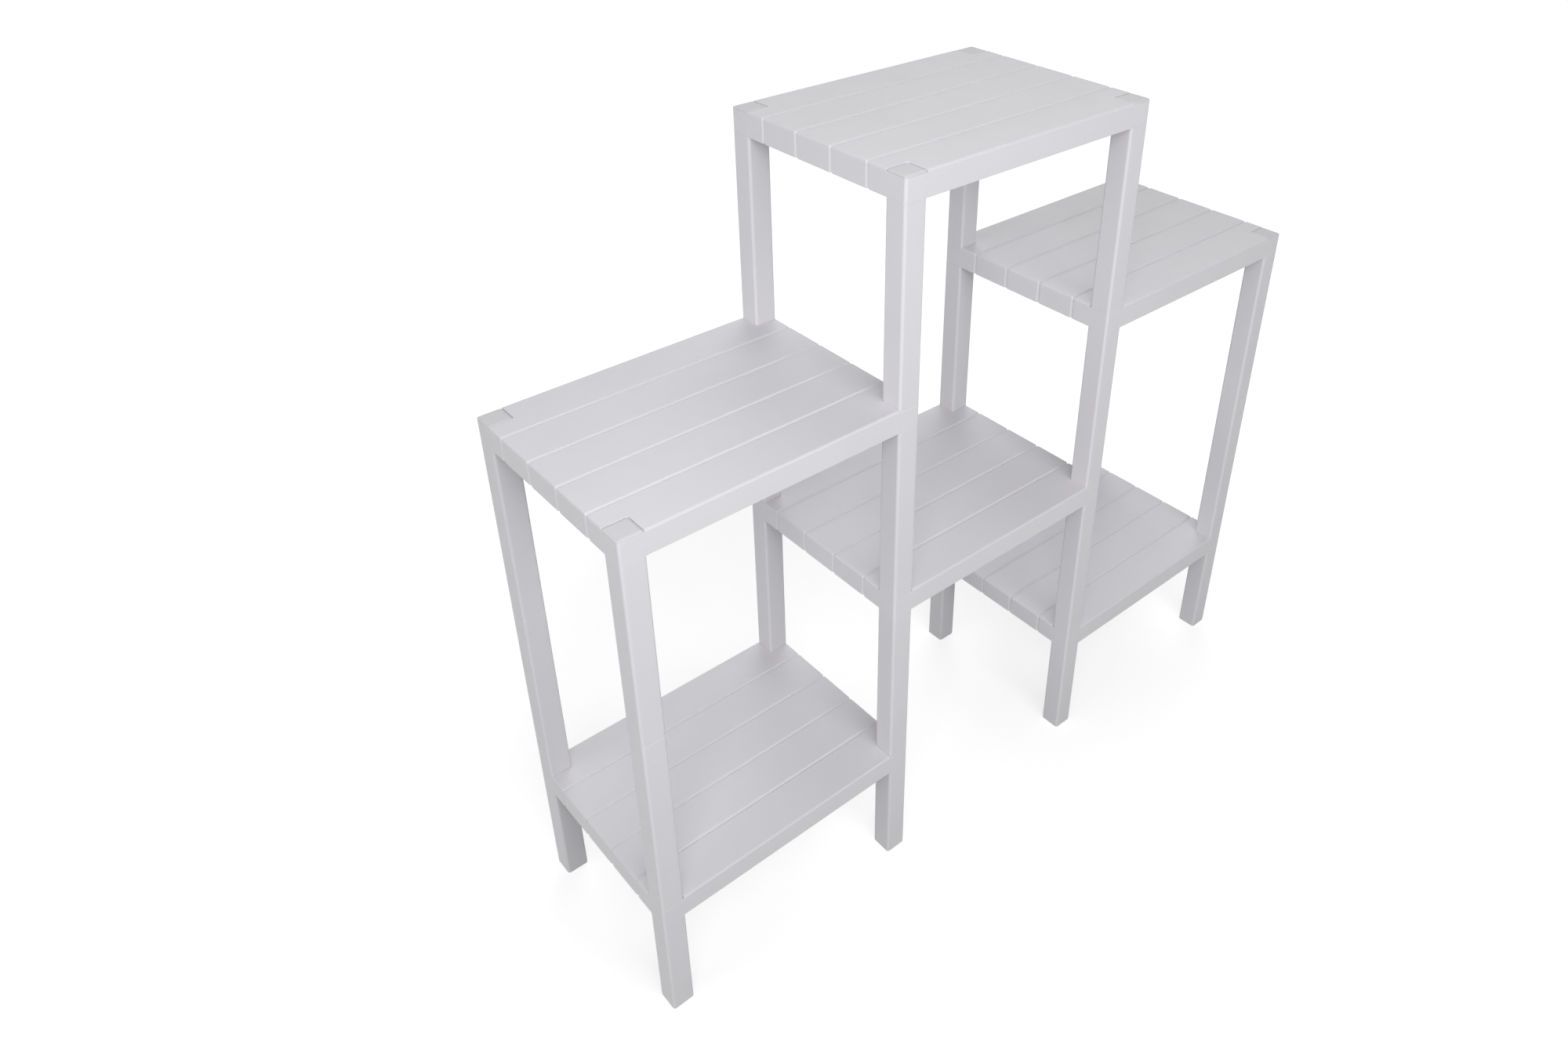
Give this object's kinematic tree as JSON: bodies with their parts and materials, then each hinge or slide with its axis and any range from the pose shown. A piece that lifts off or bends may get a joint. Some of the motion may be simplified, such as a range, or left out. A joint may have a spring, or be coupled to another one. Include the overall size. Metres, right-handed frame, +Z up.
{
  "type": "shelving unit",
  "caption": "Free-standing stepped shelving unit: slatted moulded-plastic shelves on square push-together posts with couplers and flush caps.",
  "frame": {"origin": "on the floor, under the middle of the unit", "axes": "+X along the slats, from the left bay to the right bay; +Y from the front to the back; +Z up"},
  "size_m": [1.138, 0.3, 1.0352],
  "materials": {
    "shelf_plastic": "smooth semi-matt white moulded plastic",
    "post_plastic": "smooth semi-matt white moulded plastic",
    "cap_plastic": "semi-matt moulded plastic, a shade greyer than the shelves"
  },
  "bodies": {
    "root": {"left_low_shelf": "shelf_plastic", "left_high_shelf": "shelf_plastic", "middle_low_shelf": "shelf_plastic", "middle_high_shelf": "shelf_plastic", "right_low_shelf": "shelf_plastic", "right_high_shelf": "shelf_plastic", "front_left_foot": "post_plastic", "back_left_foot": "post_plastic", "front_left_inner_foot": "post_plastic", "back_left_inner_foot": "post_plastic", "front_right_inner_foot": "post_plastic", "back_right_inner_foot": "post_plastic", "front_right_foot": "post_plastic", "back_right_foot": "post_plastic", "front_left_leg_1": "post_plastic", "front_left_leg_2": "post_plastic", "back_left_leg_1": "post_plastic", "back_left_leg_2": "post_plastic", "front_left_inner_leg_1": "post_plastic", "front_left_inner_leg_2": "post_plastic", "front_left_inner_leg_3": "post_plastic", "back_left_inner_leg_1": "post_plastic", "back_left_inner_leg_2": "post_plastic", "back_left_inner_leg_3": "post_plastic", "front_right_inner_leg_1": "post_plastic", "front_right_inner_leg_2": "post_plastic", "front_right_inner_leg_3": "post_plastic", "back_right_inner_leg_1": "post_plastic", "back_right_inner_leg_2": "post_plastic", "back_right_inner_leg_3": "post_plastic", "front_right_leg_1": "post_plastic", "front_right_leg_2": "post_plastic", "back_right_leg_1": "post_plastic", "back_right_leg_2": "post_plastic", "front_left_coupler": "post_plastic", "back_left_coupler": "post_plastic", "front_right_coupler": "post_plastic", "back_right_coupler": "post_plastic", "front_left_cap": "cap_plastic", "back_left_cap": "cap_plastic", "front_left_inner_cap": "cap_plastic", "back_left_inner_cap": "cap_plastic", "front_right_inner_cap": "cap_plastic", "back_right_inner_cap": "cap_plastic", "front_right_cap": "cap_plastic", "back_right_cap": "cap_plastic"}
  },
  "joints": []
}
